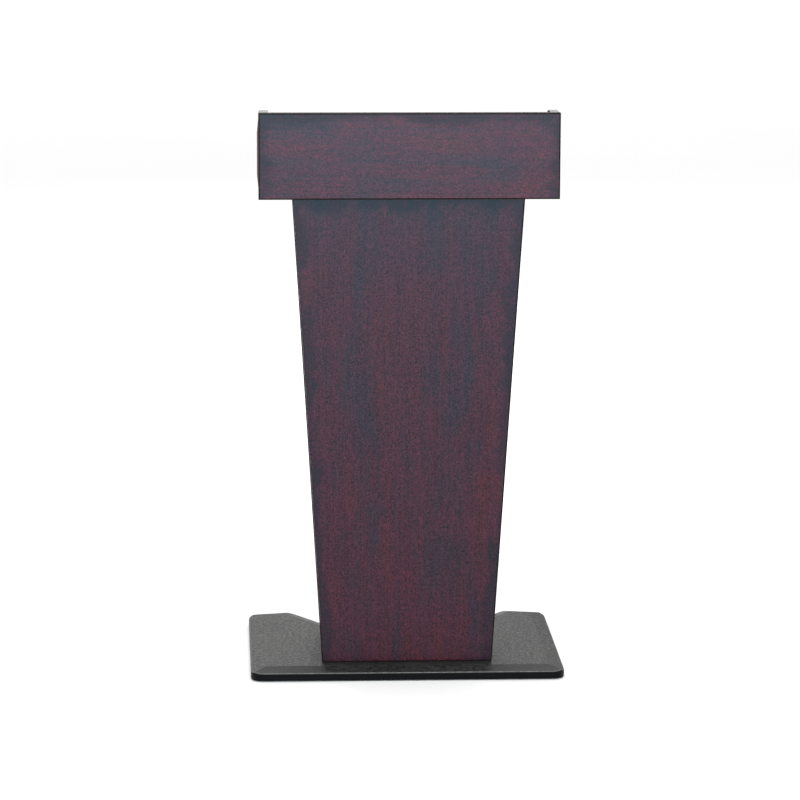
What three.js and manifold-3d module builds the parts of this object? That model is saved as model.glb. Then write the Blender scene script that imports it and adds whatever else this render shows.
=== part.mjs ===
// A floor-standing wooden pulpit of melamine-faced board, as a knock-down kit: a bevelled base plate
// with a notch for the speaker's feet, a column that tapers towards the floor, and a desk head whose
// board slopes down to the speaker behind a deep fascia. Millimetres: X across, Y from the audience
// to the speaker, Z up, with the origin on the floor at the middle of the base.
import * as THREE from "three";
import { mergeVertices } from "three/addons/utils/BufferGeometryUtils.js";
import Module from "manifold-3d";

const wasm = await Module();
wasm.setup();

// ---- Driving dimensions ----
const rad = THREE.MathUtils.degToRad;

const HEIGHT = 1170; // floor to the top of the fascia
const BOARD = 18; // thickness of every melamine-faced board
const BAND = 2; // thickness of the edge banding
const GAP = 0.3; // clearance left between pieces that touch

const BASE_WIDTH = 648;
const BASE_DEPTH = 524;
const BASE_TOP = 26;
const BASE_UNDERSIDE = 2; // the feet hold the plate this far off the floor
const BEVEL_RUN = 31; // the bevel round the plate's top: how wide,
const BEVEL_DROP = 8; // and how deep
const FRONT_CORNER = 25; // radius of the plate's front corners,
const HEEL_CORNER = 40; // of each rear leg's outer corner,
const TIP_CORNER = 40; // of the corner where a leg's end meets the notch,
const NOTCH_CORNER = 20; // and of the notch's inner corners
const LEG_SWEEP = rad(12); // each leg's end is swept back towards the notch
const LEG_TIP_X = 233; // where the leg's end and the notch's side would meet
const NOTCH_SLANT = rad(57); // angle between the notch's side and the X axis
const NOTCH_FLOOR_Y = 110;

const HEAD_WIDTH = 610;
const HEAD_BOTTOM = 995;
const HEAD_SETBACK = 30; // from the base's front edge to the fascia's face
const HEAD_DEPTH = 430;
const LEVEL_TOP = 62; // the cheeks run level this far back from the fascia's face
const DESK_SLOPE = rad(13);
const DESK_SUNK = 8; // the reading board lies this far below the cheeks' edges
const CHEEK_CORNER = 12; // radius of the cheeks' rear top corner
const TRAY_DEPTH = 50;
const TRAY_SUNK = 12; // the pen tray lies this far below the fascia's top
const PEN_GROOVE_R = 10;
const PEN_GROOVE_SUNK = 5;
const PEN_GROOVE_END = 30; // the groove stops this far short of each cheek
const DADO = 6; // depth of the grooves that hold the tray and the board
const READING_LENGTH = 352; // along the slope
const STOP_RISE = 20; // the page stop stands this far above the reading board
const STOP_DROP = 22; // and reaches this far below the board's top face

const COLUMN_SETBACK = 28; // from the fascia's face to the column's face
const COLUMN_DEPTH = 282;
const COLUMN_TOP_WIDTH = 474;
const COLUMN_FOOT_WIDTH = 352;
const SIDE_INSET = 12; // the side panels stand in from the front panel's edges
const RAIL_HEIGHT = 100;
const SHELF_PIN_Z = 560;
const SHELF_FRONT_GAP = 4;
const SHELF_BACK_GAP = 6;
const SHELF_END_GAP = 1.5;

const PIN_PITCH = 32; // the shelf's pin holes: their pitch,
const PIN_ROWS = 3; // the rows, the lowest in use because the column widens upwards,
const PIN_FRONT_Y = -145; // and the two columns
const PIN_BACK_Y = 35;
const CAM_SETBACK = 34; // from a board's edge to the middle of its cam

// Where the feet and the fasteners stand: X and Y, Y alone or Z alone.
const FOOT_PLACES = { front: [285, -222], rear: [268, 214] };
const BOLT_X = 90;
const BOLT_Y = { front: -135, rear: 30 };
const CAM_Z = { lower: 220, upper: 850 };
const FLOOR_SCREW_Y = { front: -110, rear: 52 };
const HEAD_SCREW_Y = { front: -125, rear: 15 };
const CHEEK_SCREW_Y = { front: -105, rear: 125 };

const ROUND = 12; // sides of a drilled hole or a slender fastener,
const PIN_ROUND = 10; // of a shelf pin's hole,
const DISC_ROUND = 16; // of a cam, a bolt's head or a tee nut,
const FOOT_ROUND = 24; // of a foot,
const GROOVE_ROUND = 32; // and of the tool that cuts the pen groove
const ARC = 12; // steps in a rounded corner
const OVER = 1; // a drill starts this far outside a face, and ends this far past a fastener

// ---- Dimensions that follow ----
const HEAD_FRONT_Y = -BASE_DEPTH / 2 + HEAD_SETBACK;
const COLUMN_FRONT_Y = HEAD_FRONT_Y + COLUMN_SETBACK;
const COLUMN_BACK_Y = COLUMN_FRONT_Y + COLUMN_DEPTH;
const COLUMN_INSIDE_Y = COLUMN_FRONT_Y + BOARD;
const TILT = Math.atan((COLUMN_TOP_WIDTH - COLUMN_FOOT_WIDTH) / 2 / (HEAD_BOTTOM - BASE_TOP));
const HEAD_INSIDE_Y = HEAD_FRONT_Y + BOARD;
const HEAD_BACK_Y = HEAD_FRONT_Y + HEAD_DEPTH;
const CHEEK_OUTSIDE_X = HEAD_WIDTH / 2 - BAND; // the fascia's banding covers the cheeks' edges
const HEAD_INSIDE_X = CHEEK_OUTSIDE_X - BOARD;
const SLOPE_START_Y = HEAD_FRONT_Y + LEVEL_TOP;
const TRAY_BACK_Y = HEAD_INSIDE_Y + TRAY_DEPTH;

// ---- Materials ----
const finish = (color, roughness, metalness) =>
  new THREE.MeshStandardMaterial({ color, roughness, metalness });
const laminate = finish(0x5a3038, 0.5, 0);
const banding = finish(0x2a1714, 0.45, 0);
const blackPaint = finish(0x161618, 0.6, 0);
const rubber = finish(0x0d0d0d, 0.9, 0);
const beech = finish(0xc9a06c, 0.7, 0);
const zinc = finish(0xb8babd, 0.35, 1);

// ---- Solids ----
function solidOf(geometry) {
  const loose = geometry.index ? geometry.toNonIndexed() : geometry;
  const bare = new THREE.BufferGeometry().setAttribute("position", loose.getAttribute("position"));
  const merged = mergeVertices(bare, 1e-3);
  return new wasm.Manifold(
    new wasm.Mesh({
      numProp: 3,
      vertProperties: merged.attributes.position.array,
      triVerts: new Uint32Array(merged.index.array),
    }),
  );
}

function geometryOf(solid) {
  const { vertProperties, triVerts } = solid.getMesh();
  const shared = new THREE.BufferGeometry()
    .setAttribute("position", new THREE.BufferAttribute(vertProperties, 3))
    .setIndex(new THREE.BufferAttribute(triVerts, 1));
  const flat = shared.toNonIndexed();
  flat.computeVertexNormals();
  return flat;
}

const subtract = (geometry, tools) =>
  geometryOf(tools.reduce((solid, tool) => solid.subtract(solidOf(tool)), solidOf(geometry)));

// A polygon's outline moved inwards by distance, or outwards where it is negative. The points run
// anticlockwise.
function inset(points, distance) {
  const count = points.length;
  return points.map((point, i) => {
    const before = points[(i + count - 1) % count];
    const after = points[(i + 1) % count];
    const arriving = new THREE.Vector2().subVectors(point, before).normalize();
    const leaving = new THREE.Vector2().subVectors(after, point).normalize();
    const inward = new THREE.Vector2(-arriving.y - leaving.y, arriving.x + leaving.x).normalize();
    const scale = distance / (-arriving.y * inward.x + arriving.x * inward.y);
    return inward.multiplyScalar(scale).add(point);
  });
}

// A shape through points that run anticlockwise, with each corner rounded to its radius.
function roundedShape(points, radii) {
  const shape = new THREE.Shape();
  points.forEach((corner, i) => {
    if (!radii[i]) {
      shape[i ? "lineTo" : "moveTo"](corner.x, corner.y);
      return;
    }
    const before = points[(i + points.length - 1) % points.length];
    const after = points[(i + 1) % points.length];
    const arriving = new THREE.Vector2().subVectors(corner, before).normalize();
    const leaving = new THREE.Vector2().subVectors(after, corner).normalize();
    const turn = Math.asin(arriving.cross(leaving));
    const reach = radii[i] * Math.tan(Math.abs(turn) / 2);
    const side = Math.sign(turn) * radii[i];
    const start = corner.clone().addScaledVector(arriving, -reach);
    const centre = new THREE.Vector2(start.x - arriving.y * side, start.y + arriving.x * side);
    const from = Math.atan2(start.y - centre.y, start.x - centre.x);
    shape.absarc(centre.x, centre.y, radii[i], from, from + turn, turn < 0);
  });
  return shape;
}

const at = (x, y) => new THREE.Vector2(x, y);
const shapeOf = (points) => new THREE.Shape(points);
const prism = (shape, depth) =>
  new THREE.ExtrudeGeometry(shape, { depth, bevelEnabled: false, curveSegments: ARC });

// A solid of revolution about +Z through [radius, z] pairs, from the axis back to the axis, or a
// closed ring of them.
function turned(profile, sides = ROUND) {
  const points = profile.map(([radius, z]) => at(radius, z));
  return new THREE.LatheGeometry(points, sides).rotateX(Math.PI / 2);
}

// ---- Placing ----
const part = new THREE.Group();
const cuts = {}; // the tools that drill or groove each node, in the part's frame

// Frames for a section drawn in the YZ plane and run along X, and for one in the XZ plane run
// towards -Y.
const alongX = (x) =>
  new THREE.Matrix4()
    .makeBasis(
      new THREE.Vector3(0, 1, 0),
      new THREE.Vector3(0, 0, 1),
      new THREE.Vector3(1, 0, 0),
    )
    .setPosition(x, 0, 0);
const towardsFront = (y) =>
  new THREE.Matrix4()
    .makeBasis(
      new THREE.Vector3(1, 0, 0),
      new THREE.Vector3(0, 0, 1),
      new THREE.Vector3(0, -1, 0),
    )
    .setPosition(0, y, 0);
const upFrom = (z) => new THREE.Matrix4().makeTranslation(0, 0, z);

// A fastener's seat: its origin on a board's face, its +Z the way it is driven.
function seat(x, y, z, ...direction) {
  const turn = new THREE.Quaternion().setFromUnitVectors(
    new THREE.Vector3(0, 0, 1),
    new THREE.Vector3(...direction),
  );
  return new THREE.Matrix4().compose(new THREE.Vector3(x, y, z), turn, new THREE.Vector3(1, 1, 1));
}

function drill(tool, place, ...names) {
  for (const name of names) {
    cuts[name] ??= [];
    cuts[name].push(tool.clone().applyMatrix4(place));
  }
}

function add(name, geometry, material, place) {
  const back = place.clone().invert();
  const tools = (cuts[name] ?? []).map((tool) => tool.clone().applyMatrix4(back));
  const mesh = new THREE.Mesh(tools.length ? subtract(geometry, tools) : geometry, material);
  mesh.name = name;
  mesh.applyMatrix4(place);
  part.add(mesh);
}

// ---- The column's tapering sides ----
const frontHalf = (z) => COLUMN_FOOT_WIDTH / 2 + (z - BASE_TOP) * Math.tan(TILT);
const outsideX = (z) => frontHalf(z) - SIDE_INSET;
const insideX = (z) => outsideX(z) - BOARD / Math.cos(TILT);
const SIDES = [
  { hand: "left", sign: -1 },
  { hand: "right", sign: 1 },
];

// A seat on a side panel's outer or inner face, driven square to the panel.
const fromOutside = (sign, y, z) =>
  seat(sign * outsideX(z), y, z, -sign * Math.cos(TILT), 0, Math.sin(TILT));
const intoInside = (sign, y, z) =>
  seat(sign * insideX(z), y, z, sign * Math.cos(TILT), 0, -Math.sin(TILT));
const outOfInside = (sign, y, z) =>
  seat(sign * insideX(z), y, z, -sign * Math.cos(TILT), 0, Math.sin(TILT));

// ---- Fasteners ----
const box = (width, height, depth, z) =>
  new THREE.BoxGeometry(width, height, depth).translate(0, 0, z);

// A one-piece connector screw, its countersunk head just under the face, with a hex socket.
const SCREW = {
  length: 50,
  headR: 5,
  shankR: 3.4,
  sunk: 0.5, // the head's top below the face,
  rim: 1, // the head's straight rim,
  head: 3, // and its whole height
  point: 3,
  socketR: 2.4,
  socketDepth: 3,
};
function connectorScrew() {
  const { length, headR, shankR, sunk, rim, head, point, socketR, socketDepth } = SCREW;
  const body = turned([
    [0, sunk],
    [headR, sunk],
    [headR, sunk + rim],
    [shankR, sunk + head],
    [shankR, length - point],
    [0, length],
  ]);
  const hexagon = new THREE.CylinderGeometry(socketR, socketR, 2 * socketDepth, 6)
    .rotateX(Math.PI / 2)
    .translate(0, 0, sunk);
  return subtract(body, [hexagon]);
}
function screwHole() {
  const { length, headR, shankR, sunk, rim, head } = SCREW;
  return turned([
    [0, -OVER],
    [headR + GAP, -OVER],
    [headR + GAP, sunk + rim + GAP],
    [shankR + GAP, sunk + head + GAP],
    [shankR + GAP, length + OVER],
    [0, length + OVER],
  ]);
}

// A cam fitting: a bolt driven into the front board, and a cam turned on its head in the side board.
const CAM = { r: 7.3, length: 12.4, slot: 9, slotWidth: 1.6, slotDepth: 3.6 };
const CAM_BOLT = {
  r: 2.5,
  threadR: 3,
  headR: 3,
  driven: 11,
  point: 2,
  chamfer: 1,
  neckStart: CAM_SETBACK - 6,
  neckEnd: CAM_SETBACK - 2,
  end: CAM_SETBACK + 2.5,
  holeEnd: CAM_SETBACK + 3,
};
function camBolt() {
  const { r, threadR, headR, driven, point, chamfer, neckStart, neckEnd, end } = CAM_BOLT;
  return turned([
    [0, -driven],
    [threadR, -driven + point],
    [threadR, 0],
    [r, chamfer],
    [r, neckStart],
    [r - chamfer, neckStart + chamfer],
    [r - chamfer, neckEnd],
    [headR, neckEnd + chamfer],
    [headR, end - chamfer],
    [0, end],
  ]);
}
const camBoltHole = () =>
  turned([
    [0, -CAM_BOLT.driven - OVER],
    [CAM_BOLT.threadR + GAP, -CAM_BOLT.driven - OVER],
    [CAM_BOLT.threadR + GAP, CAM_BOLT.holeEnd],
    [0, CAM_BOLT.holeEnd],
  ]);
function cam() {
  const { r, length, slot, slotWidth, slotDepth } = CAM;
  const body = turned(
    [
      [0, GAP],
      [r, GAP],
      [r, GAP + length],
      [0, GAP + length],
    ],
    DISC_ROUND,
  );
  const across = box(slot, slotWidth, slotDepth, GAP);
  const upright = box(slotWidth, slot, slotDepth, GAP);
  return subtract(body, [across, upright]);
}
const camPocket = () =>
  turned(
    [
      [0, -OVER],
      [CAM.r + GAP, -OVER],
      [CAM.r + GAP, CAM.length + 3 * GAP],
      [0, CAM.length + 3 * GAP],
    ],
    DISC_ROUND,
  );

// A bolt that comes up through the base plate, and the flanged tee nut that takes it.
const BOLT = {
  length: 42,
  r: 3,
  headR: 7,
  headTop: 6,
  sunk: 2,
  chamfer: 1,
  headClear: 0.5, // the counterbore's clearance round the head,
  past: 4, // and the hole's run past the bolt's end
};
function baseBolt() {
  const { length, r, headR, headTop, sunk, chamfer } = BOLT;
  const body = turned(
    [
      [0, sunk],
      [headR - chamfer, sunk],
      [headR, sunk + chamfer],
      [headR, headTop],
      [r, headTop],
      [r, length - chamfer],
      [0, length],
    ],
    DISC_ROUND,
  );
  const { socketR, socketDepth } = SCREW;
  const hexagon = new THREE.CylinderGeometry(socketR, socketR, 2 * socketDepth, 6)
    .rotateX(Math.PI / 2)
    .translate(0, 0, sunk);
  return subtract(body, [hexagon]);
}
const baseBoltHole = () =>
  turned(
    [
      [0, -OVER],
      [BOLT.headR + BOLT.headClear, -OVER],
      [BOLT.headR + BOLT.headClear, BOLT.headTop + GAP],
      [BOLT.r + GAP, BOLT.headTop + GAP],
      [BOLT.r + GAP, BOLT.length + BOLT.past],
      [0, BOLT.length + BOLT.past],
    ],
    DISC_ROUND,
  );
const TEE = { flangeR: 10, flange: 1.6, barrelR: 4.6, barrel: 13 };
const teeNut = () =>
  turned(
    [
      [BOLT.r + GAP, -TEE.flange - GAP],
      [TEE.flangeR, -TEE.flange - GAP],
      [TEE.flangeR, -GAP],
      [TEE.barrelR, -GAP],
      [TEE.barrelR, TEE.barrel],
      [BOLT.r + GAP, TEE.barrel],
      [BOLT.r + GAP, -TEE.flange - GAP],
    ],
    DISC_ROUND,
  );
const teeNutHole = () =>
  turned([
    [0, -OVER],
    [TEE.barrelR + GAP, -OVER],
    [TEE.barrelR + GAP, TEE.barrel + GAP],
    [0, TEE.barrel + GAP],
  ]);

// A shelf pin: pushed into its hole as far as a thin collar.
const PIN = { r: 2.5, driven: 9, collarR: 4, collar: 1.2, restR: 3, reach: 9, chamfer: 1 };
const shelfPin = () =>
  turned([
    [0, -PIN.driven],
    [PIN.r, -PIN.driven],
    [PIN.r, GAP],
    [PIN.collarR, GAP],
    [PIN.collarR, GAP + PIN.collar],
    [PIN.restR, GAP + PIN.collar],
    [PIN.restR, PIN.reach - PIN.chamfer],
    [PIN.restR - PIN.chamfer, PIN.reach],
    [0, PIN.reach],
  ]);
const pinHole = () =>
  turned(
    [
      [0, -PIN.driven - OVER],
      [PIN.r + GAP, -PIN.driven - OVER],
      [PIN.r + GAP, OVER],
      [0, OVER],
    ],
    PIN_ROUND,
  );

// A rubber foot, seated in a shallow round pocket in the plate's underside.
const FOOT = { r: 18, pocket: 2, chamferIn: 1.5, chamferUp: 1.2 };
const foot = () =>
  turned(
    [
      [0, 0],
      [FOOT.r - FOOT.chamferIn, 0],
      [FOOT.r, FOOT.chamferUp],
      [FOOT.r, BASE_UNDERSIDE + FOOT.pocket - GAP],
      [0, BASE_UNDERSIDE + FOOT.pocket - GAP],
    ],
    FOOT_ROUND,
  );
const footPocket = () =>
  turned(
    [
      [0, 0],
      [FOOT.r + GAP, 0],
      [FOOT.r + GAP, BASE_UNDERSIDE + FOOT.pocket],
      [0, BASE_UNDERSIDE + FOOT.pocket],
    ],
    FOOT_ROUND,
  );

function addFeet() {
  for (const { hand, sign } of SIDES)
    for (const [end, [x, y]] of Object.entries(FOOT_PLACES)) {
      const place = new THREE.Matrix4().makeTranslation(sign * x, y, 0);
      drill(footPocket(), place, "base_plate");
      add(`foot_${end}_${hand}`, foot(), rubber, place);
    }
}

function addBaseBolts() {
  const floorTop = BASE_TOP + GAP + BOARD;
  for (const { hand, sign } of SIDES)
    for (const [end, y] of Object.entries(BOLT_Y)) {
      const bolt = seat(sign * BOLT_X, y, BASE_UNDERSIDE, 0, 0, 1);
      drill(baseBoltHole(), bolt, "base_plate", "column_floor");
      add(`base_bolt_${end}_${hand}`, baseBolt(), zinc, bolt);
      const nut = new THREE.Matrix4()
        .makeRotationX(Math.PI)
        .setPosition(sign * BOLT_X, y, floorTop);
      drill(teeNutHole(), nut, "column_floor");
      add(`tee_nut_${end}_${hand}`, teeNut(), zinc, nut);
    }
}

function addCam(name, bolt, disc, frontBoard, sideBoard) {
  drill(camBoltHole(), bolt, frontBoard, sideBoard, `cam_${name}`);
  drill(camPocket(), disc, sideBoard);
  add(`cam_bolt_${name}`, camBolt(), zinc, bolt);
  add(`cam_${name}`, cam(), zinc, disc);
}

function addCams() {
  for (const { hand, sign } of SIDES) {
    for (const [level, z] of Object.entries(CAM_Z)) {
      const x = (outsideX(z) + insideX(z)) / 2;
      const bolt = seat(sign * x, COLUMN_INSIDE_Y, z, 0, 1, 0);
      const discZ = z + (BOARD / 2) * Math.sin(TILT);
      const disc = intoInside(sign, COLUMN_INSIDE_Y + CAM_SETBACK, discZ);
      addCam(`column_${level}_${hand}`, bolt, disc, "column_front", `column_side_${hand}`);
    }
    const z = (HEAD_BOTTOM + HEIGHT) / 2;
    const bolt = seat(sign * (HEAD_INSIDE_X + BOARD / 2), HEAD_INSIDE_Y, z, 0, 1, 0);
    const disc = seat(sign * HEAD_INSIDE_X, HEAD_INSIDE_Y + CAM_SETBACK, z, sign, 0, 0);
    addCam(`fascia_${hand}`, bolt, disc, "fascia", `cheek_${hand}`);
  }
}

function addScrews() {
  const screw = (name, place, ...boards) => {
    drill(screwHole(), place, ...boards);
    add(`screw_${name}`, connectorScrew(), zinc, place);
  };
  const floorZ = BASE_TOP + GAP + BOARD / 2;
  const railZ = BASE_TOP + 2 * GAP + BOARD + RAIL_HEIGHT / 2;
  const headFloorTop = HEAD_BOTTOM + BOARD;
  const columnX = (outsideX(headFloorTop) + insideX(headFloorTop)) / 2;
  for (const { hand, sign } of SIDES) {
    const side = `column_side_${hand}`;
    for (const [end, y] of Object.entries(FLOOR_SCREW_Y))
      screw(`floor_${end}_${hand}`, fromOutside(sign, y, floorZ), side, "column_floor");
    const railPlace = fromOutside(sign, COLUMN_BACK_Y - BOARD / 2, railZ);
    screw(`rail_${hand}`, railPlace, side, "back_rail");
    for (const [end, y] of Object.entries(HEAD_SCREW_Y)) {
      const down = [-sign * Math.sin(TILT), 0, -Math.cos(TILT)];
      const place = seat(sign * columnX, y, headFloorTop, ...down);
      screw(`head_${end}_${hand}`, place, "head_floor", side);
    }
    for (const [end, y] of Object.entries(CHEEK_SCREW_Y)) {
      const place = seat(sign * CHEEK_OUTSIDE_X, y, HEAD_BOTTOM + BOARD / 2, -sign, 0, 0);
      screw(`cheek_${end}_${hand}`, place, `cheek_${hand}`, "head_floor");
    }
  }
}

function addShelfPins() {
  for (const { hand, sign } of SIDES)
    for (const [end, y] of Object.entries({ front: PIN_FRONT_Y, rear: PIN_BACK_Y })) {
      for (let row = 0; row < PIN_ROWS; row++) {
        const z = SHELF_PIN_Z + row * PIN_PITCH;
        drill(pinHole(), outOfInside(sign, y, z), `column_side_${hand}`);
      }
      add(`shelf_pin_${end}_${hand}`, shelfPin(), zinc, outOfInside(sign, y, SHELF_PIN_Z));
    }
}

// A glued dowel between the reading board's lower edge and the page stop.
const DOWEL = { r: 4, intoBoard: 14, intoStop: 12, chamfer: 1, x: 180 };
const dowel = () =>
  turned([
    [0, -DOWEL.intoBoard],
    [DOWEL.r - DOWEL.chamfer, -DOWEL.intoBoard],
    [DOWEL.r, -DOWEL.intoBoard + DOWEL.chamfer],
    [DOWEL.r, DOWEL.intoStop - DOWEL.chamfer],
    [DOWEL.r - DOWEL.chamfer, DOWEL.intoStop],
    [0, DOWEL.intoStop],
  ]);
const dowelHole = () =>
  turned([
    [0, -DOWEL.intoBoard - OVER],
    [DOWEL.r + GAP, -DOWEL.intoBoard - OVER],
    [DOWEL.r + GAP, DOWEL.intoStop + OVER],
    [0, DOWEL.intoStop + OVER],
  ]);

function addDowels() {
  const edge = onDesk(READING_LENGTH, -BOARD / 2);
  for (const { hand, sign } of SIDES) {
    const downhill = [0, Math.cos(DESK_SLOPE), -Math.sin(DESK_SLOPE)];
    const place = seat(sign * DOWEL.x, edge.x, edge.y, ...downhill);
    drill(dowelHole(), place, "reading_board", "page_stop");
    add(`stop_dowel_${hand}`, dowel(), beech, place);
  }
}

// ---- The base ----
// The plate's outline, anticlockwise from its front left corner, with each corner's radius.
function baseOutline() {
  const half = BASE_WIDTH / 2;
  const front = -BASE_DEPTH / 2;
  const spread = Math.cos((NOTCH_SLANT - LEG_SWEEP) / 2) / Math.cos((NOTCH_SLANT + LEG_SWEEP) / 2);
  const tipY = BASE_DEPTH / 2 + TIP_CORNER * (spread - 1); // so that the rounded tip ends the depth
  const heelY = tipY - (half - LEG_TIP_X) * Math.tan(LEG_SWEEP);
  const notchX = LEG_TIP_X - (tipY - NOTCH_FLOOR_Y) / Math.tan(NOTCH_SLANT);
  const rightHalf = [at(half, front), at(half, heelY), at(LEG_TIP_X, tipY), at(notchX, NOTCH_FLOOR_Y)];
  const leftHalf = rightHalf.map(({ x, y }) => at(-x, y)).reverse();
  const radii = [FRONT_CORNER, HEEL_CORNER, TIP_CORNER, NOTCH_CORNER];
  return { points: [...rightHalf, ...leftHalf], radii: [...radii, ...radii.slice().reverse()] };
}

function addBase() {
  const { points, radii } = baseOutline();
  const below = 3 * BASE_TOP; // the bevelled block runs down past the plate, which trims it
  const block = new THREE.ExtrudeGeometry(shapeOf(points), {
    depth: below,
    bevelSize: BEVEL_RUN,
    bevelOffset: -BEVEL_RUN,
    bevelThickness: BEVEL_DROP,
    bevelSegments: 1,
  }).translate(0, 0, BASE_TOP - BEVEL_DROP - below);
  const rounded = prism(roundedShape(points, radii), BASE_TOP).translate(0, 0, BASE_UNDERSIDE);
  const plate = geometryOf(solidOf(block).intersect(solidOf(rounded)));
  add("base_plate", plate, blackPaint, new THREE.Matrix4());
}

// ---- The column ----
// A band round a panel's edges, and the panel inside it: outline anticlockwise, in the XZ plane.
function addBandedPanel(panel, band, outline, frontY) {
  const ring = shapeOf(outline);
  ring.holes.push(new THREE.Path(inset(outline, BAND)));
  const core = shapeOf(inset(outline, BAND + GAP));
  const place = towardsFront(frontY + BOARD);
  add(panel, prism(core, BOARD), laminate, place);
  add(band, prism(ring, BOARD), banding, place);
}

function addColumn() {
  const bottom = BASE_TOP + GAP;
  const top = HEAD_BOTTOM - GAP;
  const face = [
    at(-frontHalf(bottom), bottom),
    at(frontHalf(bottom), bottom),
    at(frontHalf(top), top),
    at(-frontHalf(top), top),
  ];
  addBandedPanel("column_front", "column_front_band", face, COLUMN_FRONT_Y);

  const depth = COLUMN_DEPTH - BOARD - GAP;
  for (const { hand, sign } of SIDES) {
    const section = [
      at(sign * insideX(bottom), bottom),
      at(sign * outsideX(bottom), bottom),
      at(sign * outsideX(top), top),
      at(sign * insideX(top), top),
    ];
    const panel = prism(shapeOf(section), depth);
    add(`column_side_${hand}`, panel, laminate, towardsFront(COLUMN_BACK_Y));
  }

  // A board's section between the tapering sides, from one height to another.
  const between = (low, high) => [
    at(-insideX(low) + GAP, low),
    at(insideX(low) - GAP, low),
    at(insideX(high) - GAP, high),
    at(-insideX(high) + GAP, high),
  ];
  const floor = prism(shapeOf(between(bottom, bottom + BOARD)), depth);
  add("column_floor", floor, laminate, towardsFront(COLUMN_BACK_Y));
  const railLow = bottom + BOARD + GAP;
  const rail = prism(shapeOf(between(railLow, railLow + RAIL_HEIGHT)), BOARD);
  add("back_rail", rail, laminate, towardsFront(COLUMN_BACK_Y));
}

function addShelf() {
  const pinTop = SHELF_PIN_Z + PIN.reach * Math.sin(TILT) + PIN.restR;
  const low = Math.ceil(pinTop + GAP);
  const half = insideX(low) - SHELF_END_GAP;
  const depth = COLUMN_DEPTH - BOARD - SHELF_FRONT_GAP - SHELF_BACK_GAP;
  const shelf = prism(
    shapeOf([at(-half, 0), at(half, 0), at(half, depth), at(-half, depth)]),
    BOARD,
  ).translate(0, COLUMN_INSIDE_Y + SHELF_FRONT_GAP, 0);
  add("adjustable_shelf", shelf, laminate, upFrom(low));
}

// ---- The head: fascia, cheeks, floor, pen tray, reading board and page stop ----
// A point on the desk: along the slope from its start, and square to the reading board's face.
function onDesk(along, above) {
  const startZ = HEIGHT - DESK_SUNK / Math.cos(DESK_SLOPE);
  const y = SLOPE_START_Y + along * Math.cos(DESK_SLOPE) + above * Math.sin(DESK_SLOPE);
  const z = startZ - along * Math.sin(DESK_SLOPE) + above * Math.cos(DESK_SLOPE);
  return at(y, z);
}
// The height, on the line that lies above the reading board's face, of its point at y.
function deskHeight(y, above) {
  const start = onDesk(0, above);
  return start.y - (y - start.x) * Math.tan(DESK_SLOPE);
}

function addHead() {
  const half = HEAD_WIDTH / 2;
  const face = [at(-half, HEAD_BOTTOM), at(half, HEAD_BOTTOM), at(half, HEIGHT), at(-half, HEIGHT)];
  addBandedPanel("fascia", "fascia_band", face, HEAD_FRONT_Y);

  const front = HEAD_INSIDE_Y + GAP;
  const trayTop = HEIGHT - TRAY_SUNK;
  const tray = [
    at(front, trayTop - BOARD),
    at(TRAY_BACK_Y, trayTop - BOARD),
    at(TRAY_BACK_Y, trayTop),
    at(front, trayTop),
  ];
  const boardFront = TRAY_BACK_Y + GAP;
  const board = [
    at(boardFront, deskHeight(boardFront, -BOARD)),
    onDesk(READING_LENGTH, -BOARD),
    onDesk(READING_LENGTH, 0),
    at(boardFront, deskHeight(boardFront, 0)),
  ];
  const reach = HEAD_INSIDE_X + DADO - GAP; // the tray and the board run into the cheeks' grooves
  for (const { sign } of SIDES)
    for (const section of [tray, board]) {
      const groove = prism(shapeOf(inset(section, -GAP)), 2 * DADO);
      const hand = sign < 0 ? "left" : "right";
      drill(groove, alongX(sign * HEAD_INSIDE_X - DADO), `cheek_${hand}`);
    }
  const groove = new THREE.CylinderGeometry(
    PEN_GROOVE_R,
    PEN_GROOVE_R,
    2 * (HEAD_INSIDE_X - PEN_GROOVE_END),
    GROOVE_ROUND,
  ).rotateZ(Math.PI / 2);
  const grooveZ = trayTop + PEN_GROOVE_R - PEN_GROOVE_SUNK;
  const grooveY = (front + TRAY_BACK_Y) / 2;
  drill(groove, new THREE.Matrix4().makeTranslation(0, grooveY, grooveZ), "pen_tray");
  add("pen_tray", prism(shapeOf(tray), 2 * reach), laminate, alongX(-reach));
  add("reading_board", prism(shapeOf(board), 2 * reach), laminate, alongX(-reach));

  const stopStart = READING_LENGTH + GAP;
  const stop = [
    onDesk(stopStart, -STOP_DROP),
    onDesk(stopStart + BOARD, -STOP_DROP),
    onDesk(stopStart + BOARD, STOP_RISE),
    onDesk(stopStart, STOP_RISE),
  ];
  const stopHalf = HEAD_INSIDE_X - GAP;
  add("page_stop", prism(shapeOf(stop), 2 * stopHalf), laminate, alongX(-stopHalf));

  const rearTop = HEIGHT - (HEAD_BACK_Y - SLOPE_START_Y) * Math.tan(DESK_SLOPE);
  const cheek = roundedShape(
    [
      at(front, HEAD_BOTTOM),
      at(HEAD_BACK_Y, HEAD_BOTTOM),
      at(HEAD_BACK_Y, rearTop),
      at(SLOPE_START_Y, HEIGHT),
      at(front, HEIGHT),
    ],
    [0, 0, CHEEK_CORNER, 0, 0],
  );
  add("cheek_left", prism(cheek, BOARD), laminate, alongX(-CHEEK_OUTSIDE_X));
  add("cheek_right", prism(cheek, BOARD), laminate, alongX(HEAD_INSIDE_X));

  const floorHalf = HEAD_INSIDE_X - GAP;
  const floor = prism(
    shapeOf([
      at(-floorHalf, front),
      at(floorHalf, front),
      at(floorHalf, HEAD_BACK_Y),
      at(-floorHalf, HEAD_BACK_Y),
    ]),
    BOARD,
  );
  add("head_floor", floor, laminate, upFrom(HEAD_BOTTOM));
}

// The fasteners come first: each one drills the boards that it joins, which are cut as they are added.
addFeet();
addBaseBolts();
addCams();
addScrews();
addShelfPins();
addDowels();
addBase();
addColumn();
addShelf();
addHead();

export default part;
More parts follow.
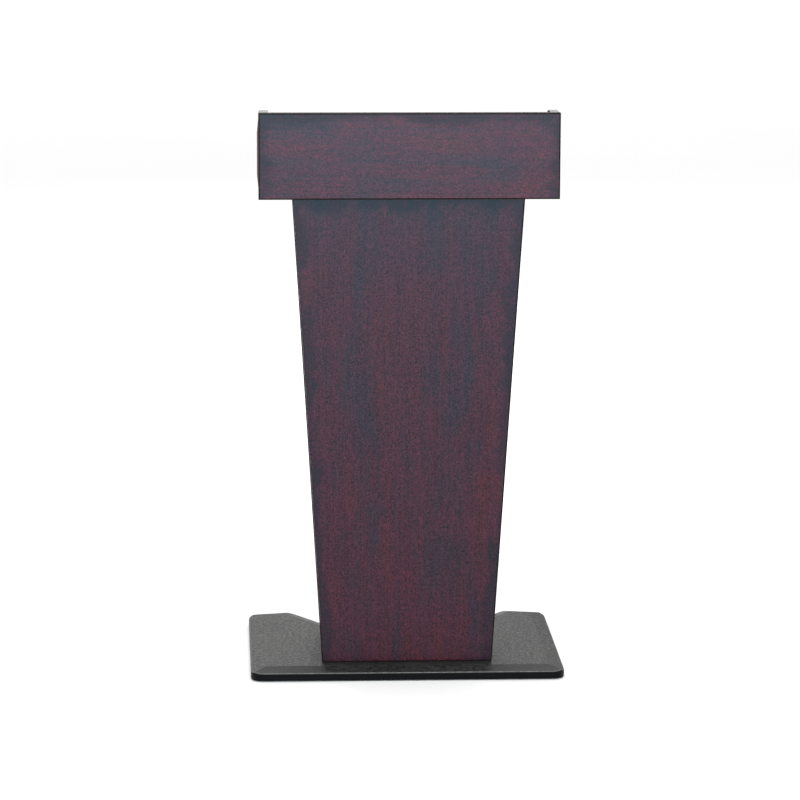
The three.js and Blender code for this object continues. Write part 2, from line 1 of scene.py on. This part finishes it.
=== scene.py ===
"""A mahogany-laminate pulpit on a black bevelled base, on a pale studio floor.

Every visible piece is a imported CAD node, given its finish here. The boards, their banding and the base
plate are eased at their arrises by modifiers as well. Metres, in the row frame: X across, Y from the
audience to the speaker, Z up.
"""
import math

import bpy
from mathutils import Matrix, Vector

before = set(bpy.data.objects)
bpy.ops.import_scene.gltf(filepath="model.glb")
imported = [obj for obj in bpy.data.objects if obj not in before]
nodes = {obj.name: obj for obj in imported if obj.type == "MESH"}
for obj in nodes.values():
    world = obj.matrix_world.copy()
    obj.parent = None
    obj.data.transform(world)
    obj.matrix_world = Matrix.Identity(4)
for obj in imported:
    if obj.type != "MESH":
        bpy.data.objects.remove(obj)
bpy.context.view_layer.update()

MM = 0.001
BOARD = 18 * MM

# ---- Easing ----
WELD_REACH = 0.01 * MM  # triangle corners nearer than this are one corner
FLAT_WITHIN = math.radians(0.4)  # triangles that turn by less than this are one face
ARRIS_ANGLE = math.radians(40)  # edges that turn by more than this are eased
SMOOTH_ANGLE = math.radians(11)  # edges that turn by less than this are shaded smooth
BOARD_EASE = 0.5 * MM
BOARD_EASE_STEPS = 2
BASE_EASE = 2.0 * MM
BASE_EASE_STEPS = 3

# ---- Camera ----
LENS = 165.7
SENSOR = 36.0
CAMERA_PLACE = (-0.3926, -7.6112, 1.9401)
CAMERA_TURN = math.radians(-2.907)  # about Z, from looking along +Y
CAMERA_TIP = math.radians(90.0 - 10.405)  # about X, from looking straight down
CAMERA_ROLL = math.radians(0.211)
CAMERA_REACH = 100.0

# ---- Studio ----
FLOOR_HALF = 40.0
# Each softbox: its name, place, target, size, power and tint.
SOFTBOXES = [
    ("front", (0, -5.2, 1.35), (0, 0, 0.9), (3.0, 1.2), 140.0, (0.80, 0.93, 1.0)),
    ("overhead", (0, -2.4, 4.2), (0, 0, 0.8), (3.0, 2.0), 70.0, (1.0, 0.97, 0.93)),
    ("rear_high", (-0.3, 4.4, 4.4), (0, 0, 0.3), (5.0, 2.4), 180.0, (1.0, 0.99, 0.98)),
    ("rear_low", (-1.05, 5.5, 1.3), (0, 0, 0.3), (4.0, 1.4), 20.0, (1.0, 0.99, 0.97)),
    ("backdrop", (0, 17, 8), (0, 17, 0), (14.0, 14.0), 260.0, (1.0, 1.0, 1.0)),
]


# ---- Node helpers ----
class Shader:
    """A material's node tree, with short ways to add and link its nodes."""

    def __init__(self, name):
        self.material = bpy.data.materials.new(name)
        self.material.use_nodes = True
        self.tree = self.material.node_tree
        self.tree.nodes.clear()
        self.output = self.add("ShaderNodeOutputMaterial")
        self.surface = self.add("ShaderNodeBsdfPrincipled")
        self.link(self.surface.outputs["BSDF"], self.output.inputs["Surface"])

    def add(self, kind, **settings):
        node = self.tree.nodes.new(kind)
        for key, value in settings.items():
            setattr(node, key, value)
        return node

    def link(self, source, target):
        """Links an output to an input, or sets the input where source is a plain value."""
        if isinstance(source, bpy.types.NodeSocket):
            self.tree.links.new(source, target)
        else:
            target.default_value = source

    def math(self, operation, a, b=0.0, c=0.0):
        node = self.add("ShaderNodeMath", operation=operation)
        for value, socket in zip((a, b, c), node.inputs):
            self.link(value, socket)
        return node.outputs[0]

    def vector(self, operation, a, b=(0.0, 0.0, 0.0)):
        node = self.add("ShaderNodeVectorMath", operation=operation)
        self.link(a, node.inputs[0])
        self.link(b, node.inputs[1])
        return node.outputs[0]

    def scaled(self, vector, factor):
        node = self.add("ShaderNodeVectorMath", operation="SCALE")
        self.link(vector, node.inputs[0])
        self.link(factor, node.inputs["Scale"])
        return node.outputs[0]

    def noise(self, where, scale, detail=2.0, roughness=0.5, distortion=0.0):
        node = self.add("ShaderNodeTexNoise")
        self.link(where, node.inputs["Vector"])
        node.inputs["Scale"].default_value = scale
        node.inputs["Detail"].default_value = detail
        node.inputs["Roughness"].default_value = roughness
        node.inputs["Distortion"].default_value = distortion
        return node.outputs["Fac"]

    def remap(self, value, low, high, to_low=0.0, to_high=1.0):
        """value from low..high to to_low..to_high, smoothly and no further."""
        node = self.add("ShaderNodeMapRange", interpolation_type="SMOOTHSTEP")
        for item, socket in zip((value, low, high, to_low, to_high), node.inputs):
            self.link(item, socket)
        return node.outputs[0]

    def mix(self, factor, a, b, blend="MIX"):
        node = self.add("ShaderNodeMix", data_type="RGBA", blend_type=blend)
        self.link(factor, node.inputs[0])
        self.link(a, node.inputs[6])
        self.link(b, node.inputs[7])
        return node.outputs[2]

    def bump(self, height, distance, strength):
        node = self.add("ShaderNodeBump")
        node.inputs["Strength"].default_value = strength
        node.inputs["Distance"].default_value = distance
        self.link(height, node.inputs["Height"])
        return node.outputs["Normal"]

    def place(self):
        return self.add("ShaderNodeTexCoord").outputs["Object"]

    def facing(self):
        """The surface's own normal, as absolute X, Y and Z."""
        normal = self.add("ShaderNodeTexCoord").outputs["Normal"]
        return self.separate(self.vector("ABSOLUTE", normal))

    def separate(self, vector):
        node = self.add("ShaderNodeSeparateXYZ")
        self.link(vector, node.inputs[0])
        return node.outputs


def colour(red, green, blue):
    return (red, green, blue, 1.0)


# ---- Finishes ----
SLATE = colour(0.0240, 0.0079, 0.0134)
PLUM = colour(0.0390, 0.0059, 0.0120)
RUSSET = colour(0.0465, 0.0063, 0.0083)
BAND_BROWN = colour(0.0045, 0.0022, 0.0014)
BAND_LIGHT = colour(0.0095, 0.0048, 0.0031)
RIM_WIDTH = 34 * MM
RIM_SHADE = 0.60  # how dark the print is at its outline, where it is framed; at the top of the column front, under the head, this is painted shadow
RIM_DULLING = 0.08  # and how much rougher
FRONT_SHEEN = colour(0.35, 0.84, 1.0)  # the tint of the sheen: on the two front boards,
BOARD_SHEEN = colour(0.92, 0.95, 1.0)  # and on the others
LAMINATE_SPECULAR = 0.26
EDGE_ROUGHNESS = 0.30
EDGE_FACING = 0.6  # a face that turns further than this from the print is an edge
BOARD_DULLED = 0.25  # how much rougher than the fronts: the other boards,
CHEEK_DULLED = 0.50  # and the cheeks
FASCIA_TONE = (1.30, 1.12, 1.06)

# The figure's three layers: scale across and along the grain, and weight.
BANDS = (17.0, 2.0, 0.30)
LEAVES = (38.0, 4.2, 0.36)
BLOTCHES = (13.0, 7.0, 0.34)
THREADS = (230.0, 9.0)
SPECKLE = (390.0, 330.0)
SPECKLE_CONTRAST = 80.0  # the speckle's lightest over its darkest, were it to run from 0 to 1

# The base's paint: the bare coat in two tones, dust that also stands in for light from above (painted
# top light), and a painted highlight along the arris.
COAT_DARK = colour(0.0008, 0.0010, 0.0016)
COAT_LIGHT = colour(0.0022, 0.0024, 0.0031)
DUST_AND_TOP_LIGHT = colour(0.36, 0.35, 0.335)
DUST_AND_TOP_LIGHT_COVER = 0.055
ARRIS_HIGHLIGHT = colour(0.20, 0.196, 0.19)
PAINT_SPECULAR = 0.075
BAND_SPECULAR = 0.10


def rim(s, where, node, ragged):
    """How near a point of a front board is to its sides and top: 1 at the outline, 0 well inside.

    ragged is a noise that moves the inner limit in and out.
    """
    points = [vertex.co for vertex in node.data.vertices]
    low, high = min(p.z for p in points), max(p.z for p in points)
    foot_half = max(p.x for p in points if p.z < low + BOARD)
    top_half = max(p.x for p in points if p.z > high - BOARD)
    x, _, z = s.separate(where)
    spread = (top_half - foot_half) / (high - low)
    half = s.math("ADD", s.math("MULTIPLY", z, spread), foot_half - low * spread)
    inside = s.math("SUBTRACT", half, s.math("ABSOLUTE", x))
    below = s.math("SUBTRACT", high, z)
    shift = s.remap(ragged, 0.35, 0.65, -0.4 * RIM_WIDTH, 0.4 * RIM_WIDTH)
    depth = s.math("ADD", s.math("MINIMUM", inside, below), shift)
    return s.remap(depth, 0.0, RIM_WIDTH, 1.0, 0.0)


def laminate(name, along, face, seed, framed=None, tone=(1.0, 1.0, 1.0), dulled=BOARD_DULLED):
    """Mahogany print on board, its grain running along one axis.

    along is the grain's axis and face the axis square to the printed faces, as 0, 1 or 2. The board's
    edges, which face neither way, are dark edging. framed is the node of a front board, whose print is
    darker near its outline; at the top of the column front, under the head, that darkening is painted
    shadow. tone is the board's own cast, and dulled how much rougher it is than the fronts.
    """
    s = Shader(name)
    place = s.place()
    where = s.vector("ADD", place, (seed * 1.37, seed * 2.11, seed * 0.73))

    def stretched(across_scale, along_scale):
        scales = [across_scale] * 3
        scales[along] = along_scale
        return s.vector("MULTIPLY", where, tuple(scales))

    # Streaks of slate, plum and russet along the grain, broken up by blotches.
    bands = s.noise(stretched(*BANDS[:2]), 1.0, 2.0, 0.5, 0.5)
    leaves = s.noise(stretched(*LEAVES[:2]), 1.0, 3.0, 0.6, 0.4)
    blotches = s.noise(stretched(*BLOTCHES[:2]), 1.0, 4.0, 0.65, 0.3)
    threads = s.noise(stretched(*THREADS), 1.0, 2.0, 0.6)
    speckle = s.noise(stretched(*SPECKLE), 1.0, 2.0, 0.8)
    figure = s.math("MULTIPLY", bands, BANDS[2])
    figure = s.math("ADD", figure, s.math("MULTIPLY", leaves, LEAVES[2]))
    figure = s.math("ADD", figure, s.math("MULTIPLY", blotches, BLOTCHES[2]))
    body = s.mix(s.remap(figure, 0.37, 0.53), SLATE, PLUM)
    body = s.mix(s.remap(figure, 0.50, 0.64), body, RUSSET)
    grit = s.math("POWER", SPECKLE_CONTRAST, s.math("SUBTRACT", speckle, 0.5))
    shade = s.math("MULTIPLY", s.remap(threads, 0.3, 0.7, 0.90, 1.10), grit)
    # Darker near the outline of a front board; at the column front's top, under the head, this is
    # painted shadow.
    if framed:
        near = rim(s, place, framed, blotches)
        shade = s.math("MULTIPLY", shade, s.remap(near, 0.0, 1.0, 1.0, RIM_SHADE))
    body = s.vector("MULTIPLY", s.scaled(body, shade), tone)

    # Edging, streaked a little.
    edge = s.math("LESS_THAN", s.facing()[face], EDGE_FACING)
    streaked = s.mix(s.remap(s.noise(where, 90.0, 2.0), 0.4, 0.7), BAND_BROWN, BAND_LIGHT)
    s.link(s.mix(edge, body, streaked), s.surface.inputs["Base Color"])

    grain = s.remap(threads, 0.3, 0.7, -0.02, 0.02)
    rough = s.math("ADD", s.remap(speckle, 0.3, 0.7, 0.26, 0.34), grain)
    dulling = s.math("MULTIPLY", near, RIM_DULLING) if framed else dulled
    rough = s.math("ADD", rough, dulling)
    glossy_edge = s.math("MULTIPLY", edge, s.math("SUBTRACT", EDGE_ROUGHNESS, rough))
    s.link(s.math("ADD", rough, glossy_edge), s.surface.inputs["Roughness"])
    s.surface.inputs["Specular IOR Level"].default_value = LAMINATE_SPECULAR
    s.surface.inputs["Specular Tint"].default_value = FRONT_SHEEN if framed else BOARD_SHEEN
    height = s.math("ADD", speckle, s.math("MULTIPLY", threads, 0.4))
    s.link(s.bump(height, 0.12 * MM, 0.6), s.surface.inputs["Normal"])
    return s.material


def edging(name):
    """Dark brown banding, duller than the print and a little uneven."""
    s = Shader(name)
    where = s.place()
    streak = s.noise(s.vector("MULTIPLY", where, (40.0, 260.0, 40.0)), 1.0, 3.0)
    brown = s.mix(s.remap(streak, 0.35, 0.7), BAND_BROWN, BAND_LIGHT)
    s.link(brown, s.surface.inputs["Base Color"])
    s.link(s.remap(s.noise(where, 160.0), 0.3, 0.7, 0.5, 0.65), s.surface.inputs["Roughness"])
    s.surface.inputs["Specular IOR Level"].default_value = BAND_SPECULAR
    s.link(s.bump(s.noise(where, 700.0), 0.05 * MM, 0.5), s.surface.inputs["Normal"])
    return s.material


def black_paint(name):
    """Coarse-textured black paint, lighter where it faces up with dust that also stands in for light
    from above (painted top light), and with a painted highlight along its arrises.
    """
    s = Shader(name)
    where = s.place()
    pebbles = s.noise(where, 150.0, 4.0, 0.85)
    fine = s.noise(where, 900.0, 3.0, 0.65)
    patches = s.noise(where, 9.0, 4.0, 0.6)
    coat = s.mix(s.remap(fine, 0.35, 0.65), COAT_DARK, COAT_LIGHT)
    upward = s.separate(s.add("ShaderNodeTexCoord").outputs["Normal"])[2]
    uneven = s.remap(patches, 0.3, 0.7, 0.85, 1.1)
    dust_and_light_amount = s.math("MULTIPLY", s.remap(pebbles, 0.32, 0.66, 0.0, 2.0), uneven)
    # Upward faces are lighter: dust, and painted light from above.
    dust_and_top_light = s.math("MULTIPLY", s.remap(upward, 0.5, 0.95), s.math("MULTIPLY", dust_and_light_amount, DUST_AND_TOP_LIGHT_COVER))
    shade = s.mix(dust_and_top_light, coat, DUST_AND_TOP_LIGHT)
    # A paler band along the arris, broken up by the pebbles: a painted highlight.
    arris = s.math("MULTIPLY", s.remap(upward, 0.15, 0.45), s.remap(upward, 0.80, 0.95, 1.0, 0.0))
    arris_highlight = s.math("MULTIPLY", arris, s.remap(pebbles, 0.3, 0.7, 0.35, 1.0))
    shade = s.mix(arris_highlight, shade, ARRIS_HIGHLIGHT)
    s.link(shade, s.surface.inputs["Base Color"])
    s.link(s.remap(pebbles, 0.36, 0.64, 0.28, 0.66), s.surface.inputs["Roughness"])
    s.surface.inputs["Specular IOR Level"].default_value = PAINT_SPECULAR
    height = s.math("ADD", pebbles, s.math("MULTIPLY", fine, 0.3))
    s.link(s.bump(height, 0.8 * MM, 0.8), s.surface.inputs["Normal"])
    return s.material


def rubber(name):
    s = Shader(name)
    where = s.place()
    grit = s.noise(where, 1400.0, 3.0, 0.7)
    shade = s.mix(grit, colour(0.010, 0.010, 0.010), colour(0.026, 0.025, 0.024))
    s.link(shade, s.surface.inputs["Base Color"])
    s.link(s.remap(grit, 0.3, 0.7, 0.75, 0.92), s.surface.inputs["Roughness"])
    s.link(s.bump(grit, 0.08 * MM, 0.5), s.surface.inputs["Normal"])
    return s.material


def zinc(name):
    """Bright zinc plate, between cool and warm from place to place, and finely scratched."""
    s = Shader(name)
    where = s.place()
    tone = s.noise(where, 160.0, 3.0, 0.6)
    scratches = s.noise(s.vector("MULTIPLY", where, (300.0, 2600.0, 300.0)), 1.0, 3.0)
    plating = s.mix(tone, colour(0.47, 0.49, 0.53), colour(0.66, 0.64, 0.58))
    s.link(plating, s.surface.inputs["Base Color"])
    s.surface.inputs["Metallic"].default_value = 1.0
    s.link(s.remap(scratches, 0.3, 0.7, 0.22, 0.40), s.surface.inputs["Roughness"])
    s.link(s.bump(scratches, 0.03 * MM, 0.5), s.surface.inputs["Normal"])
    return s.material


def beech(name):
    s = Shader(name)
    where = s.place()
    fleck = s.noise(s.vector("MULTIPLY", where, (700.0, 60.0, 700.0)), 1.0, 3.0)
    grain = s.mix(fleck, colour(0.46, 0.28, 0.13), colour(0.62, 0.42, 0.24))
    s.link(grain, s.surface.inputs["Base Color"])
    s.link(s.remap(fleck, 0.3, 0.7, 0.55, 0.75), s.surface.inputs["Roughness"])
    s.link(s.bump(fleck, 0.1 * MM, 0.5), s.surface.inputs["Normal"])
    return s.material


# ---- Putting finishes on the CAD nodes ----
# Each board's grain axis and the axis square to its printed faces.
X, Y, Z = 0, 1, 2
BOARDS = {
    "fascia": (X, Y),
    "column_front": (Z, Y),
    "cheek_left": (Y, X),
    "cheek_right": (Y, X),
    "column_side_left": (Z, X),
    "column_side_right": (Z, X),
    "column_floor": (X, Z),
    "back_rail": (X, Y),
    "adjustable_shelf": (X, Z),
    "head_floor": (X, Z),
    "pen_tray": (X, Z),
    "reading_board": (X, Z),
    "page_stop": (X, Y),
}


def wear(node, material):
    """Gives a CAD node one material."""
    node.data.materials.clear()
    node.data.materials.append(material)


def smooth_by_angle(limit):
    """A node group that shades a mesh smooth, apart from the edges that turn by more than limit."""
    group = bpy.data.node_groups.new("smooth_by_angle", "GeometryNodeTree")
    group.interface.new_socket("Geometry", in_out="INPUT", socket_type="NodeSocketGeometry")
    group.interface.new_socket("Geometry", in_out="OUTPUT", socket_type="NodeSocketGeometry")
    add, link = group.nodes.new, group.links.new
    start, end = add("NodeGroupInput"), add("NodeGroupOutput")
    faces, edges = add("GeometryNodeSetShadeSmooth"), add("GeometryNodeSetShadeSmooth")
    faces.domain, edges.domain = "FACE", "EDGE"
    edges.inputs["Shade Smooth"].default_value = False
    angle, sharp = add("GeometryNodeInputMeshEdgeAngle"), add("FunctionNodeCompare")
    sharp.operation = "GREATER_THAN"
    sharp.inputs["B"].default_value = limit
    link(start.outputs[0], faces.inputs["Geometry"])
    link(faces.outputs[0], edges.inputs["Geometry"])
    link(angle.outputs["Unsigned Angle"], sharp.inputs["A"])
    link(sharp.outputs[0], edges.inputs["Selection"])
    link(edges.outputs[0], end.inputs[0])
    return group


def ease(node, width, segments, shading):
    """Rounds a CAD node's arrises: its triangles are joined into whole faces first."""
    weld = node.modifiers.new("weld", "WELD")
    weld.merge_threshold = WELD_REACH
    whole = node.modifiers.new("whole_faces", "DECIMATE")
    whole.decimate_type = "DISSOLVE"
    whole.angle_limit = FLAT_WITHIN
    bevel = node.modifiers.new("ease", "BEVEL")
    bevel.width = width
    bevel.segments = segments
    bevel.use_clamp_overlap = False
    bevel.limit_method = "ANGLE"
    bevel.angle_limit = ARRIS_ANGLE
    shade = node.modifiers.new("shading", "NODES")
    shade.node_group = shading


def dress_nodes():
    paint = black_paint("black_paint")
    foot_rubber = rubber("foot_rubber")
    plate = zinc("zinc_plate")
    dowel_wood = beech("beech")
    band = edging("edging")
    for seed, (name, (along, face)) in enumerate(BOARDS.items()):
        options = {}
        if name in ("fascia", "column_front"):
            options["framed"] = nodes[name]
        if name == "fascia":
            options["tone"] = FASCIA_TONE
        if name.startswith("cheek"):
            options["dulled"] = CHEEK_DULLED
        wear(nodes[name], laminate("laminate_" + name, along, face, seed, **options))
    for name, node in nodes.items():
        if name in BOARDS:
            continue
        if name.endswith("_band"):
            wear(node, band)
        elif name == "base_plate":
            wear(node, paint)
        elif name.startswith("foot_"):
            wear(node, foot_rubber)
        elif name.startswith("stop_dowel"):
            wear(node, dowel_wood)
        else:
            wear(node, plate)


# ---- Camera, light and floor ----
def add_camera():
    camera = bpy.data.cameras.new("camera")
    camera.lens = LENS
    camera.sensor_width = SENSOR
    camera.clip_end = CAMERA_REACH
    viewer = bpy.data.objects.new("camera", camera)
    turn = Matrix.Rotation(CAMERA_TURN, 4, "Z")
    tip = Matrix.Rotation(CAMERA_TIP, 4, "X")
    roll = Matrix.Rotation(CAMERA_ROLL, 4, "Z")
    viewer.matrix_world = Matrix.Translation(CAMERA_PLACE) @ turn @ tip @ roll
    bpy.context.scene.collection.objects.link(viewer)
    bpy.context.scene.camera = viewer


def add_softbox(name, place, target, size, power, tint):
    light = bpy.data.lights.new(name, "AREA")
    light.shape = "RECTANGLE"
    light.size, light.size_y = size
    light.energy = power
    light.color = tint
    lamp = bpy.data.objects.new(name, light)
    lamp.location = place
    lamp.rotation_euler = (Vector(target) - Vector(place)).to_track_quat("-Z", "Y").to_euler()
    lamp.visible_camera = False
    bpy.context.scene.collection.objects.link(lamp)


def add_stage():
    world = bpy.data.worlds.new("studio")
    world.use_nodes = True
    background = world.node_tree.nodes["Background"]
    background.inputs["Color"].default_value = colour(1.0, 1.0, 1.0)
    background.inputs["Strength"].default_value = 1.0
    bpy.context.scene.world = world
    bpy.context.scene.view_settings.view_transform = "Standard"

    mesh = bpy.data.meshes.new("floor")
    half = FLOOR_HALF
    corners = [(-half, -half, 0), (half, -half, 0), (half, half, 0), (-half, half, 0)]
    mesh.from_pydata(corners, [], [(0, 1, 2, 3)])
    floor = bpy.data.objects.new("floor", mesh)
    bpy.context.scene.collection.objects.link(floor)
    s = Shader("pale_floor")
    patch = s.noise(s.place(), 0.6, 3.0)
    shade = s.mix(patch, colour(0.86, 0.86, 0.86), colour(0.89, 0.89, 0.89))
    s.link(shade, s.surface.inputs["Base Color"])
    s.surface.inputs["Roughness"].default_value = 0.9
    s.surface.inputs["Specular IOR Level"].default_value = 0.1
    floor.data.materials.append(s.material)

    for softbox in SOFTBOXES:
        add_softbox(*softbox)


add_camera()
add_stage()
dress_nodes()
crisp = smooth_by_angle(SMOOTH_ANGLE)
for eased in (*BOARDS, "fascia_band", "column_front_band"):
    ease(nodes[eased], BOARD_EASE, BOARD_EASE_STEPS, crisp)
ease(nodes["base_plate"], BASE_EASE, BASE_EASE_STEPS, crisp)
